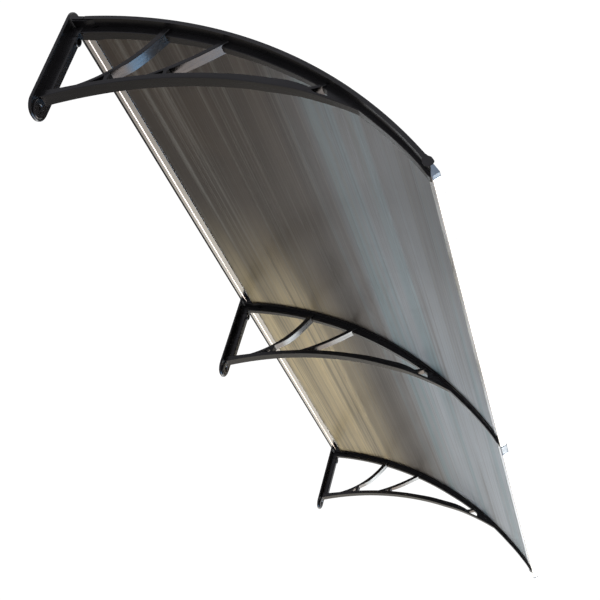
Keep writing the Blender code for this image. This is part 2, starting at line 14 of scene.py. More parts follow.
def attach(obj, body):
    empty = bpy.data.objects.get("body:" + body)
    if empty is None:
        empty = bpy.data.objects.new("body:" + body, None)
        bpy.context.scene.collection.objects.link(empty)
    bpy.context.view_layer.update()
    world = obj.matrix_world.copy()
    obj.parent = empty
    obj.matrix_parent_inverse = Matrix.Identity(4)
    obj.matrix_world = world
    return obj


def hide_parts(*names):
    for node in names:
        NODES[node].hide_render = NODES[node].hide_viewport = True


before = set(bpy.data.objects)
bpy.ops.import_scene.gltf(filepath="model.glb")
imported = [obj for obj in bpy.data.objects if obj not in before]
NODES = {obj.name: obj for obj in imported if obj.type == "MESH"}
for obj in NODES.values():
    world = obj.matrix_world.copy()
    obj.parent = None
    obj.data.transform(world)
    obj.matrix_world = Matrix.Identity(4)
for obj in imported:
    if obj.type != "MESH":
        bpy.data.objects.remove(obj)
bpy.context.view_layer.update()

# ------------------------------------------------------------------ sizes
PITCH = 1.460              # bracket to bracket
ARC_R = 1.250              # radius of the cover's top surface
ARC_S = 0.125              # where the arc is highest, from the wall
ARC_TOP = 0.1375           # height of that highest line
COVER_T = 0.0025           # cover strip
GAP = 0.0003               # clearance between touching pieces
SHEET_T = 0.0045           # canopy sheet
FLANGE_T = 0.0030          # flange of the upper arm
COVER_HW = 0.0355          # half width of cover and flange
SKIRT_X = 0.0380           # outer face of the end covers' skirts
RIB_HW = 0.0100            # half width of the rib below the flange
ARM_HW = 0.0165            # half width of lower arm and struts
SEAM_HW = 0.0040           # half the space between the sheets at the middle

LOW_S, LOW_Z = 0.440, -0.0290      # highest line of the lower arm's underside
LOW_R_IN, LOW_R_OUT = 1.200, 1.040 # its radius towards the wall and outwards

PLATE_HW = 0.0400
PLATE_T = 0.0070
PLATE_Z0, PLATE_Z1 = -0.1625, 0.1630
PLATE_R0, PLATE_R1 = 0.0360, 0.0300
PILLAR_HW = 0.0125
PILLAR_S = 0.0310
HOLE_LOW_Z, HOLE_UP_Z = -0.1350, 0.0840
HOLE_R = 0.0045

REAR_S0, REAR_S1 = 0.0118, 0.0475  # rear bar, from and to
REAR_Z0, REAR_Z1 = 0.1245, 0.1342
FRONT_S = 1.034            # where the front bar's frame is taken
BAR_END = 0.0225           # the bars stop this far past the end brackets
SHEET_REAR_S = 0.0318
SHEET_FRONT_U = 0.0055

SCREW_S = (0.115, 0.360, 0.610, 0.880)
SCREW_HEAD_R, SCREW_HEAD_H = 0.0048, 0.0028
SCREW_R, SCREW_L = 0.0021, 0.0170

SEG = 72                   # steps along the canopy's arc

ARC_Z = ARC_TOP - ARC_R
R_SHEET_OUT = ARC_R - COVER_T - GAP
R_SHEET_IN = R_SHEET_OUT - SHEET_T
R_FLANGE_OUT = R_SHEET_IN - GAP
R_FLANGE_IN = R_FLANGE_OUT - FLANGE_T

# -------------------------------------------------------------- geometry


def arc_z(radius, s):
    """Height of the canopy's arc of this radius, at distance s."""
    return ARC_Z + math.sqrt(radius * radius - (s - ARC_S) ** 2)


def arc_point(radius, angle):
    return ARC_S + radius * math.sin(angle), ARC_Z + radius * math.cos(angle)


def arc_angle(s, radius=ARC_R):
    return math.asin((s - ARC_S) / radius)


FRONT_A = arc_angle(FRONT_S)
FRONT_Z = arc_z(ARC_R, FRONT_S)


def front(u, n):
    """A point of the front bar's frame, as (s, z)."""
    ca, sa = math.cos(FRONT_A), math.sin(FRONT_A)
    return FRONT_S + u * ca + n * sa, FRONT_Z - u * sa + n * ca


def low_under(s):
    """Height of the lower arm's underside."""
    radius = LOW_R_IN if s < LOW_S else LOW_R_OUT
    z = LOW_Z - radius + math.sqrt(radius * radius - (s - LOW_S) ** 2)
    return z - blend(((0.58, 0.0037), (0.68, 0.0)), s)


def blend(table, s):
    """Read a dimension that changes evenly between a few stations."""
    if s <= table[0][0]:
        return table[0][1]
    for (a, va), (b, vb) in zip(table, table[1:]):
        if s <= b:
            t = (s - a) / (b - a)
            t = t * t * (3 - 2 * t)
            return va + (vb - va) * t
    return table[-1][1]


RIB_DEPTH = ((0.35, 0.0285), (0.60, 0.0272), (0.72, 0.0245),
             (0.80, 0.0205), (0.88, 0.0200), (1.01, 0.0172))
LOW_THICK = ((0.00, 0.0225), (0.05, 0.0155), (0.10, 0.0142),
             (0.20, 0.0140), (0.30, 0.0150), (0.44, 0.0160),
             (0.55, 0.0195), (0.64, 0.0212), (0.69, 0.0180),
             (0.712, 0.0066), (0.760, 0.0075))
LOW_HW = ((0.10, 0.0186), (0.25, 0.0174), (0.42, 0.0166), (0.58, 0.0154),
          (0.88, RIB_HW))


def spread(a, b, count):
    return [a + (b - a) * i / count for i in range(count + 1)]


def smooth_between(p0, p1, sag, count):
    """Points on an arc from p0 to p1 that sags by this much to the right."""
    (ax, az), (bx, bz) = p0, p1
    length = math.hypot(bx - ax, bz - az)
    tx, tz = (bx - ax) / length, (bz - az) / length
    radius = (length * length / 4 + sag * sag) / (2 * sag)
    half = math.asin(length / 2 / radius)
    cx = (ax + bx) / 2 - tz * (radius - sag)
    cz = (az + bz) / 2 + tx * (radius - sag)
    points = []
    for t in spread(-half, half, count):
        dx, dz = math.sin(t) * radius, -math.cos(t) * radius
        points.append((cx + tx * dx - tz * dz, cz + tz * dx + tx * dz))
    return points


# ---------------------------------------------------------------- meshes


def new_mesh(name, verts, faces):
    mesh = bpy.data.meshes.new(name)
    mesh.from_pydata([tuple(v) for v in verts], [], faces)
    work = bmesh.new()
    work.from_mesh(mesh)
    bmesh.ops.recalc_face_normals(work, faces=work.faces)
    work.to_mesh(mesh)
    work.free()
    mesh.update()
    return mesh


def loft(name, rings):
    """A closed body through rings of equal point count, with flat ends."""
    count = len(rings[0])
    verts = [p for ring in rings for p in ring]
    faces = [tuple(reversed(range(count)))]
    for i in range(len(rings) - 1):
        for j in range(count):
            k = (j + 1) % count
            faces.append((i * count + j, i * count + k,
                          (i + 1) * count + k, (i + 1) * count + j))
    last = (len(rings) - 1) * count
    faces.append(tuple(range(last, last + count)))
    return new_mesh(name, verts, faces)


def bar_ring(top, bottom, x0, x1, c):
    """One section of a bar between two (s, z) points, corners chamfered."""
    (ts, tz), (bs, bz) = top, bottom
    length = math.hypot(ts - bs, tz - bz)
    ns, nz = (ts - bs) / length, (tz - bz) / length

    def at(x, d):
        return x, -(bs + ns * d), bz + nz * d
    if c <= 0:
        return [at(x1, length), at(x1, 0), at(x0, 0), at(x0, length)]
    return [at(x1 - c, length), at(x1, length - c), at(x1, c), at(x1 - c, 0),
            at(x0 + c, 0), at(x0, c), at(x0, length - c), at(x0 + c, length)]


def ribbon(name, stations, c=0.0008):
    """A bar along (top, bottom, half width) stations."""
    return loft(name, [bar_ring(t, b, -hw, hw, c) for t, b, hw in stations])


def along(points, thick, hw, taper=None):
    """Stations for a bar of even thickness hanging under a line of points."""
    stations = []
    for i, (s, z) in enumerate(points):
        a = points[max(i - 1, 0)]
        b = points[min(i + 1, len(points) - 1)]
        length = math.hypot(b[0] - a[0], b[1] - a[1])
        ts, tz = (b[0] - a[0]) / length, (b[1] - a[1]) / length
        t = thick if taper is None else thick * taper(i / (len(points) - 1))
        stations.append(((s, z), (s + tz * t, z - ts * t), hw))
    return stations


def prism_x(name, outline, x0, x1, c=0.0):
    """An (s, z) outline drawn out along X, its end edges chamfered by c."""
    if c <= 0:
        return loft(name, [[(x, -s, z) for s, z in outline] for x in (x0, x1)])
    inner = inset(outline, c)
    return loft(name, [[(x0, -s, z) for s, z in inner],
                       [(x0 + c, -s, z) for s, z in outline],
                       [(x1 - c, -s, z) for s, z in outline],
                       [(x1, -s, z) for s, z in inner]])


def inset(outline, c):
    """Move each corner of a closed outline inwards by c."""
    area = sum(a[0] * b[1] - b[0] * a[1]
               for a, b in zip(outline, outline[1:] + outline[:1]))
    turn = 1 if area > 0 else -1
    result = []
    count = len(outline)
    for i, p in enumerate(outline):
        a, b = outline[i - 1], outline[(i + 1) % count]
        e1 = Vector((p[0] - a[0], p[1] - a[1])).normalized()
        e2 = Vector((b[0] - p[0], b[1] - p[1])).normalized()
        n1 = Vector((-e1.y, e1.x)) * turn
        n2 = Vector((-e2.y, e2.x)) * turn
        m = n1 + n2
        m = m * (c / max(0.3, m.dot(n1)))
        result.append((p[0] + m.x, p[1] + m.y))
    return result


def rounded(corners, steps=4):
    """An outline through (a, b, radius) corners, with rounded corners."""
    outline = []
    count = len(corners)
    for i, (px, pz, radius) in enumerate(corners):
        if radius <= 0:
            outline.append((px, pz))
            continue
        a, b = corners[i - 1], corners[(i + 1) % count]
        p = Vector((px, pz))
        e1 = (Vector(a[:2]) - p).normalized()
        e2 = (Vector(b[:2]) - p).normalized()
        half = e1.angle(e2) / 2
        reach = radius / math.tan(half)
        centre = p + (e1 + e2).normalized() * (radius / math.sin(half))
        start, end = p + e1 * reach - centre, p + e2 * reach - centre
        a0 = math.atan2(start.y, start.x)
        sweep = math.atan2(end.y, end.x) - a0
        while sweep > math.pi:
            sweep -= 2 * math.pi
        while sweep < -math.pi:
            sweep += 2 * math.pi
        for t in spread(a0, a0 + sweep, steps):
            outline.append((centre.x + radius * math.cos(t),
                            centre.y + radius * math.sin(t)))
    return outline


def turned(name, profile, sides=16):
    """A round body about local Z from (radius, height) pairs, axis ends."""
    verts, faces = [(0, 0, profile[0][1]), (0, 0, profile[-1][1])], []
    for r, h in profile:
        for k in range(sides):
            a = 2 * math.pi * k / sides
            verts.append((r * math.cos(a), r * math.sin(a), h))
    for k in range(sides):
        m = (k + 1) % sides
        faces.append((0, 2 + m, 2 + k))
        for i in range(len(profile) - 1):
            faces.append((2 + i * sides + k, 2 + i * sides + m,
                          2 + (i + 1) * sides + m, 2 + (i + 1) * sides + k))
        last = 2 + (len(profile) - 1) * sides
        faces.append((1, last + k, last + m))
    return new_mesh(name, verts, faces)


def place_obj(name, mesh):
    obj = bpy.data.objects.new(name, mesh)
    bpy.context.scene.collection.objects.link(obj)
    return obj


def y_round(name, profile, x, z, sides=24):
    """A turned body whose axis runs out from the wall: (radius, s) pairs."""
    mesh = turned(name, profile, sides)
    for v in mesh.vertices:
        a, b, h = v.co
        v.co = (x + a, -h, z + b)
    work = bmesh.new()
    work.from_mesh(mesh)
    bmesh.ops.recalc_face_normals(work, faces=work.faces)
    work.to_mesh(mesh)
    work.free()
    return mesh


def radial_round(name, profile, x, s, sides=16):
    """A turned body on the canopy's normal at s: heights from the cover's top."""
    mesh = turned(name, profile, sides)
    a = arc_angle(s)
    sp, zp = arc_point(ARC_R, a)
    for v in mesh.vertices:
        p, q, h = v.co
        v.co = (x + p, -(sp + q * math.cos(a) + h * math.sin(a)),
                zp - q * math.sin(a) + h * math.cos(a))
    work = bmesh.new()
    work.from_mesh(mesh)
    bmesh.ops.recalc_face_normals(work, faces=work.faces)
    work.to_mesh(mesh)
    work.free()
    return mesh


def combine(name, base, added=(), cut=()):
    """Join meshes to a base and cut others out of it, as one new mesh."""
    body = place_obj(name + "_base", base)
    helpers = [body]
    for kind, meshes in (("UNION", added), ("DIFFERENCE", cut)):
        for mesh in meshes:
            tool = place_obj(name + "_tool", mesh)
            tool.hide_render = True
            tool.display_type = "WIRE"
            helpers.append(tool)
            step = body.modifiers.new(kind.lower(), "BOOLEAN")
            step.operation = kind
            step.solver = "EXACT"
            step.object = tool
    bpy.context.view_layer.update()
    graph = bpy.context.evaluated_depsgraph_get()
    result = bpy.data.meshes.new_from_object(body.evaluated_get(graph))
    result.name = name
    for helper in helpers:
        bpy.data.objects.remove(helper, do_unlink=True)
    work = bmesh.new()
    work.from_mesh(result)
    bmesh.ops.remove_doubles(work, verts=work.verts, dist=0.00002)
    bmesh.ops.dissolve_degenerate(work, dist=0.00001, edges=work.edges)
    bmesh.ops.triangulate(work, faces=[f for f in work.faces if len(f.verts) > 4])
    work.to_mesh(result)
    work.free()
    result.update()
    return result
# ------------------------------------------------------------ the bracket


def flange_mesh():
    end = front(-0.0262, 0.0)[0]
    stations = []
    for a in spread(arc_angle(0.0640), arc_angle(end), SEG):
        stations.append((arc_point(R_FLANGE_OUT, a),
                         arc_point(R_FLANGE_IN, a), COVER_HW))
    return ribbon("flange", stations, 0.0)


def seat_mesh():
    """The flange's inner end, set lower to pass under the rear bar."""
    floor = REAR_Z0 - 0.0004
    stations = [((0.0150, floor), (0.0150, floor - 0.0032), COVER_HW - 0.0003),
                ((0.0530, floor), (0.0530, floor - 0.0032), COVER_HW - 0.0003)]
    for s, lift in ((0.0620, 0.5), (0.0760, 1.0)):
        top = arc_z(R_FLANGE_OUT - 0.0004, s)
        top = floor + (top - floor) * lift
        stations.append(((s, top), (s, top - 0.0034), COVER_HW - 0.0003))
    return ribbon("seat", stations, 0.0)


def rib_mesh():
    end = front(-0.0268, 0.0)[0]
    stations = []
    for s in spread(0.0035, end, SEG - 1):
        a = arc_angle(s)
        depth = blend(RIB_DEPTH, s)
        top = arc_point(R_FLANGE_OUT - 0.0010, a)
        if s < 0.075:
            top = (top[0], min(top[1], REAR_Z0 - 0.0012))
        stations.append((top, arc_point(ARC_R - depth, a), RIB_HW))
    return ribbon("rib", stations, 0.0012)


def lower_arm_mesh():
    stations = []
    for s in spread(0.0030, 0.640, 22) + spread(0.664, 0.760, 6):
        z = low_under(s)
        stations.append(((s, z + blend(LOW_THICK, s)), (s, z),
                         blend(LOW_HW, s)))
    return ribbon("lower_arm", stations, 0.0014)


def merge_mesh():
    """Where the two arms run into one another, short of the front bar."""
    stations = []
    for s, lean in ((0.750, 0.0125), (0.775, 0.0), (0.800, 0.0),
                    (0.828, 0.0), (0.862, 0.0)):
        top = s - lean
        stations.append(((top, arc_z(R_FLANGE_OUT - 0.0012, top)),
                         (s, low_under(s) + 0.0002),
                         blend(LOW_HW, s) - 0.0002))
    return ribbon("merge", stations, 0.0014)


def strut_meshes():
    """Three struts that leave the lower arm and rise to the upper one."""
    long_one = smooth_between((0.0450, -0.0880), (0.2720, 0.1192), 0.0334, 15)
    mid_one = smooth_between((0.2500, -0.0395), (0.4455, 0.0858), 0.0085, 10)
    short_one = smooth_between((0.6875, -0.0492), (0.7355, -0.0325), 0.0020, 4)
    flare = lambda t, a, b: (1.0 + 0.25 * max(0.0, (t - 0.85) / 0.15) ** 2
                             - 0.42 * min(1.0, max(0.0, (b - t) / (b - a))))
    hw = ARM_HW - 0.0005
    first = along(long_one, 0.0142, hw + 0.0012,
                  lambda t: flare(t, 0.48, 0.60))
    first[-1] = ((0.2722, 0.1196), (0.2900, 0.1171), hw + 0.0012)
    second = along(mid_one, 0.0114, hw, lambda t: flare(t, 0.30, 0.42))
    second[-1] = ((0.4457, 0.0862), (0.4610, 0.0819), hw)
    return [ribbon("strut_1", first, 0.0014),
            ribbon("strut_2", second, 0.0014),
            ribbon("strut_3", along(short_one, 0.0080, 0.0146), 0.0012)]


def web_meshes():
    """Short ties between the struts' roots and the lower arm."""
    hw = ARM_HW - 0.0010
    web_1 = [((0.1600, -0.0340), (0.1750, -0.0270), hw),
             ((0.1622, -0.0420), (0.1728, -0.0420), hw),
             ((0.1620, -0.0490), (0.1732, -0.0490), hw),
             ((0.1580, -0.0575), (0.1780, -0.0565), hw)]
    web_2 = [((0.3150, -0.0100), (0.3300, -0.0060), hw),
             ((0.3168, -0.0175), (0.3268, -0.0175), hw),
             ((0.3165, -0.0240), (0.3272, -0.0240), hw),
             ((0.3120, -0.0335), (0.3320, -0.0335), hw)]
    return [ribbon("web_1", web_1, 0.0010), ribbon("web_2", web_2, 0.0010)]


def plate_mesh():
    outline = rounded([(-PLATE_HW, PLATE_Z0, PLATE_R0),
                       (PLATE_HW, PLATE_Z0, PLATE_R0),
                       (PLATE_HW, PLATE_Z1, PLATE_R1),
                       (-PLATE_HW, PLATE_Z1, PLATE_R1)], 8)
    inner = inset(outline, 0.0022)
    return loft("plate", [[(x, 0.0, z) for x, z in outline],
                          [(x, -(PLATE_T - 0.0022), z) for x, z in outline],
                          [(x, -PLATE_T, z) for x, z in inner]])


def pillar_mesh():
    """The upright between the two arms, standing out from the plate."""
    stations = [((PILLAR_S + 0.0020, -0.0965), (0.0035, -0.0965), PILLAR_HW),
                ((PILLAR_S, -0.0750), (0.0035, -0.0750), PILLAR_HW),
                ((PILLAR_S, 0.095), (0.0030, 0.095), PILLAR_HW),
                ((PILLAR_S + 0.0060, 0.1210), (0.0030, 0.1210), PILLAR_HW)]
    return ribbon("pillar", stations, 0.0025)


def toe_mesh():
    """The rib's end, which reaches under the front bar's lower lip."""
    corners = [(-0.0600, -0.0110, 0), (-0.0264, -0.0100, 0),
               (-0.0262, -0.0103, 0), (0.0056, -0.0103, 0.0010),
               (0.0056, -0.0168, 0.0035), (-0.0060, -0.0186, 0.0200),
               (-0.0600, -0.0166, 0)]
    outline = [front(u, n) for u, n in rounded(corners, 4)]
    return prism_x("toe", outline, -RIB_HW + 0.0002, RIB_HW - 0.0002, 0.0010)


def bracket_mesh():
    added = [seat_mesh(), rib_mesh(), lower_arm_mesh(), merge_mesh()]
    added += strut_meshes() + web_meshes()
    added += [plate_mesh(), pillar_mesh(),
              y_round("boss_low", [(0.0252, 0.0028), (0.0252, 0.0102),
                                   (0.0238, 0.0118)], 0, HOLE_LOW_Z, 20),
              y_round("boss_up", [(0.0142, 0.0040), (0.0142, PILLAR_S + 0.0020),
                                  (0.0128, PILLAR_S + 0.0036)], 0, HOLE_UP_Z, 18),
              toe_mesh()]
    cut = [y_round("hole_low", [(HOLE_R, -0.01), (HOLE_R, 0.05)],
                   0, HOLE_LOW_Z, 12),
           y_round("recess_low", [(0.0095, 0.0100), (0.0118, 0.0121),
                                  (0.0118, 0.0300)], 0, HOLE_LOW_Z, 20),
           y_round("hole_up", [(HOLE_R, -0.01), (HOLE_R, 0.06)],
                   0, HOLE_UP_Z, 12),
           y_round("recess_up", [(0.0085, 0.0260), (0.0092, 0.0600)],
                   0, HOLE_UP_Z, 16)]
    for s in SCREW_S:
        cut.append(radial_round("pilot", [(SCREW_R + 0.0003, 0.004),
                                          (SCREW_R + 0.0003, -SCREW_L - 0.001)],
                                0, s, 8))
    return combine("bracket", flange_mesh(), added, cut)


# ------------------------------------------------------- sheets and covers


def sheet_mesh(name, x0, x1, screw_x):
    a0 = arc_angle(SHEET_REAR_S)
    a1 = FRONT_A + SHEET_FRONT_U / ARC_R
    rings = []
    for a in spread(a0, a1, SEG):
        (so, zo), (si, zi) = arc_point(R_SHEET_OUT, a), arc_point(R_SHEET_IN, a)
        rings.append([(x0, -so, zo), (x1, -so, zo), (x1, -si, zi), (x0, -si, zi)])
    body = loft(name, rings)
    holes = [radial_round("hole", [(SCREW_R + 0.0006, 0.01),
                                   (SCREW_R + 0.0006, -0.02)], screw_x, s, 10)
             for s in SCREW_S]
    return combine(name, body, (), holes)


def cover_mesh(name, side):
    """Cover strip; side is -1 or 1 for the ends' skirted ones, 0 for middle."""
    a0, a1 = arc_angle(0.0485), arc_angle(front(-0.0262, 0)[0])
    rings = []
    for a in spread(a0, a1, SEG):
        out, under = arc_point(ARC_R, a), arc_point(ARC_R - COVER_T, a)
        foot = arc_point(R_FLANGE_IN, a)
        if side == 0:
            rings.append([(-COVER_HW, -out[0], out[1]),
                          (COVER_HW, -out[0], out[1]),
                          (COVER_HW, -under[0], under[1]),
                          (-COVER_HW, -under[0], under[1])])
            continue
        e, k = SKIRT_X * side, COVER_HW * side
        inn = (COVER_HW + GAP) * side
        rings.append([(-k, -out[0], out[1]), (e, -out[0], out[1]),
                      (e, -foot[0], foot[1]), (inn, -foot[0], foot[1]),
                      (inn, -under[0], under[1]), (-k, -under[0], under[1])])
    body = loft(name, rings)
    holes = [radial_round("hole", [(SCREW_R + 0.0004, 0.01),
                                   (SCREW_R + 0.0004, -0.02)], 0, s, 10)
             for s in SCREW_S]
    added = ()
    if side:
        corners = [(-0.0320, 0.0005, 0), (-0.0250, 0.0018, 0),
                   (-0.0180, 0.0058, 0.004), (-0.0040, 0.0052, 0.006),
                   (0.0004, -0.0020, 0.004), (0.0004, -0.0110, 0.004),
                   (-0.0060, -0.0175, 0.004), (-0.0180, -0.0178, 0.003),
                   (-0.0320, -0.0100, 0)]
        outline = [front(u, n) for u, n in rounded(corners, 4)]
        lo, hi = sorted(((COVER_HW + GAP) * side, SKIRT_X * side))
        added = (prism_x("nose", outline, lo, hi, 0.0006),)
    return combine(name, body, added, holes)


def screw_mesh():
    """A pan-head screw standing on the cover, heights from its top."""
    r, h = SCREW_HEAD_R, SCREW_HEAD_H
    return [(0.0006, -SCREW_L), (SCREW_R, -SCREW_L + 0.0020),
            (SCREW_R, GAP), (r, GAP), (r * 0.95, h * 0.55), (r * 0.55, h)]


# ------------------------------------------------------------------- bars


def tube_prism(name, outer, inner, x0, x1):
    body = prism_x(name, outer, x0, x1)
    if not inner:
        return body
    hollow = prism_x("hollow", inner, x0 - 0.01, x1 + 0.01)
    return combine(name, body, (), (hollow,))


def rear_outline():
    top_out = arc_z(R_SHEET_OUT + GAP, REAR_S1)
    low_in = arc_z(R_SHEET_IN - GAP, SHEET_REAR_S) - 0.0001
    return [(REAR_S0, REAR_Z0 + 0.0030), (REAR_S0 + 0.0014, REAR_Z0 + 0.0012),
            (0.0150, REAR_Z0 + 0.0003), (0.0240, REAR_Z0), (0.0340, REAR_Z0),
            (0.0400, REAR_Z0 + 0.0003), (REAR_S1 - 0.0010, REAR_Z0 + 0.0006),
            (REAR_S1, REAR_Z0 + 0.0014), (REAR_S1, low_in),
            (SHEET_REAR_S - 0.0008, low_in),
            (SHEET_REAR_S - 0.0008, top_out), (REAR_S1, top_out),
            (REAR_S1, top_out + 0.0012), (REAR_S1 - 0.0010, top_out + 0.0017),
            (REAR_S0 + 0.0012, REAR_Z1), (REAR_S0, REAR_Z1 - 0.0012)]


def rear_hollow():
    return rounded([(REAR_S0 + 0.0020, REAR_Z0 + 0.0025, 0.0008),
                    (SHEET_REAR_S - 0.0030, REAR_Z0 + 0.0022, 0.0008),
                    (SHEET_REAR_S - 0.0030, REAR_Z1 - 0.0019, 0.0008),
                    (REAR_S0 + 0.0020, REAR_Z1 - 0.0019, 0.0008)], 2)


BOX_U0, BOX_U1, BOX_N0, BOX_N1 = 0.0070, 0.0257, -0.0202, -0.0004
BOX_KNEE_N = -0.0108
SLOT_N0, SLOT_N1 = -0.0080, -0.0023


def front_outline():
    corners = [(-0.0250, BOX_N1 - 0.0004, 0.0004), (-0.0240, BOX_N1, 0),
               (BOX_U1, BOX_N1, 0.0016), (BOX_U1, BOX_N0, 0.0030),
               (BOX_U1 - 0.0040, BOX_N0, 0.0030), (BOX_U0, BOX_KNEE_N, 0.0004),
               (BOX_U0, SLOT_N0 - 0.0017, 0),
               (-0.0250, SLOT_N0 - 0.0017, 0.0005), (-0.0250, SLOT_N0, 0),
               (BOX_U0 - 0.0006, SLOT_N0, 0), (BOX_U0 - 0.0006, SLOT_N1, 0),
               (-0.0250, SLOT_N1, 0)]
    return [front(u, n) for u, n in rounded(corners, 4)]


def front_hollow(shrink=0.0):
    w = 0.0018 + shrink
    corners = [(BOX_U1 - 0.0038 + shrink * 0.5, BOX_N0 + w, 0.0012),
               (BOX_U1 - w, BOX_N0 + w, 0.0010),
               (BOX_U1 - w, BOX_N1 - w, 0.0012), (BOX_U0 + w, BOX_N1 - w, 0.0008),
               (BOX_U0 + w, BOX_KNEE_N + 0.0012 + shrink * 0.8, 0.0008)]
    return [front(u, n) for u, n in rounded(corners, 3)]


def sleeve_outline():
    """A C-shaped clip around the outside of the front bar's box."""
    corners = [(-0.0120, BOX_N1 + GAP, 0), (BOX_U1 + GAP, BOX_N1 + GAP, 0.0018),
               (BOX_U1 + GAP, BOX_N0 - GAP, 0.0032),
               (BOX_U1 - 0.0030, BOX_N0 - GAP, 0),
               (BOX_U1 - 0.0030, BOX_N0 - 0.0018, 0.0006),
               (BOX_U1 + 0.0017, BOX_N0 - 0.0018, 0.0036),
               (BOX_U1 + 0.0017, BOX_N1 + 0.0018, 0.0030),
               (-0.0120, BOX_N1 + 0.0018, 0.0010)]
    return [front(u, n) for u, n in rounded(corners, 4)]


# -------------------------------------------------------------- materials


class Mat:
    """A node material, built up with a few short helpers."""

    def __init__(self, name):
        self.mat = bpy.data.materials.new(name)
        self.mat.use_nodes = True
        self.nodes = self.mat.node_tree.nodes
        self.links = self.mat.node_tree.links
        self.shader = self.nodes["Principled BSDF"]
        self.place = self.nodes.new("ShaderNodeTexCoord").outputs["Object"]

    def set(self, **values):
        for key, value in values.items():
            self.shader.inputs[key.replace("_", " ")].default_value = value

    def feed(self, key, socket):
        self.links.new(socket, self.shader.inputs[key])

    def stretched(self, x, y, z, turn=(0.0, 0.0, 0.0)):
        node = self.nodes.new("ShaderNodeMapping")
        node.inputs["Scale"].default_value = (x, y, z)
        node.inputs["Rotation"].default_value = turn
        self.links.new(self.place, node.inputs["Vector"])
        return node.outputs["Vector"]

    def noise(self, scale, detail=4.0, rough=0.55, at=None, distortion=0.0):
        node = self.nodes.new("ShaderNodeTexNoise")
        node.inputs["Scale"].default_value = scale
        node.inputs["Detail"].default_value = detail
        node.inputs["Roughness"].default_value = rough
        node.inputs["Distortion"].default_value = distortion
        self.links.new(at or self.place, node.inputs["Vector"])
        return node.outputs["Fac"]

    def ranged(self, socket, lo, hi, out_lo=0.0, out_hi=1.0, smooth=True):
        node = self.nodes.new("ShaderNodeMapRange")
        node.interpolation_type = "SMOOTHSTEP" if smooth else "LINEAR"
        for key, value in (("From Min", lo), ("From Max", hi),
                           ("To Min", out_lo), ("To Max", out_hi)):
            node.inputs[key].default_value = value
        self.links.new(socket, node.inputs["Value"])
        return node.outputs["Result"]

    def math(self, kind, a, b):
        node = self.nodes.new("ShaderNodeMath")
        node.operation = kind
        for i, value in enumerate((a, b)):
            if isinstance(value, (int, float)):
                node.inputs[i].default_value = value
            else:
                self.links.new(value, node.inputs[i])
        return node.outputs[0]

    def mix(self, amount, a, b, kind="MIX"):
        node = self.nodes.new("ShaderNodeMix")
        node.data_type = "RGBA"
        node.blend_type = kind
        for key, value in ((0, amount), (6, a), (7, b)):
            if isinstance(value, tuple):
                node.inputs[key].default_value = (*value, 1.0)
            elif isinstance(value, (int, float)):
                node.inputs[key].default_value = value
            else:
                self.links.new(value, node.inputs[key])
        return node.outputs[2]

    def axis(self, which):
        node = self.nodes.new("ShaderNodeSeparateXYZ")
        self.links.new(self.place, node.inputs[0])
        return node.outputs[which]

    def facing_up(self):
        geometry = self.nodes.new("ShaderNodeNewGeometry")
        node = self.nodes.new("ShaderNodeSeparateXYZ")
        self.links.new(geometry.outputs["Normal"], node.inputs[0])
        return node.outputs[2]

    def bump(self, height, strength, distance, under=None):
        node = self.nodes.new("ShaderNodeBump")
        node.inputs["Strength"].default_value = strength
        node.inputs["Distance"].default_value = distance
        self.links.new(height, node.inputs["Height"])
        if under is not None:
            self.links.new(under, node.inputs["Normal"])
        return node.outputs["Normal"]


def black_plastic():
    """Moulded black plastic: fine grain, flow marks, a little dust on top."""
    m = Mat("black_plastic_moulded")
    flow = m.noise(9.0, 5.0, 0.6, m.stretched(1.0, 0.35, 0.8))
    tone = m.mix(m.ranged(flow, 0.35, 0.70), (0.0100, 0.0092, 0.0098),
                 (0.0190, 0.0176, 0.0184))
    dust = m.math("MULTIPLY", m.ranged(m.facing_up(), 0.25, 0.95),
                  m.ranged(m.noise(23.0, 6.0, 0.65), 0.45, 0.75, 0.0, 0.45))
    m.feed("Base Color", m.mix(dust, tone, (0.085, 0.078, 0.068)))
    scuff = m.noise(60.0, 3.0, 0.5, m.stretched(1.0, 0.08, 0.5))
    rough = m.ranged(scuff, 0.30, 0.75, 0.20, 0.33)
    m.feed("Roughness", m.math("ADD", rough, m.math("MULTIPLY", dust, 0.5)))
    grain = m.bump(m.noise(1500.0, 2.0, 0.5), 0.10, 0.0003)
    m.feed("Normal", m.bump(m.noise(14.0, 2.0, 0.4), 0.05, 0.0030, grain))
    m.set(IOR=1.50)
    return m.mat


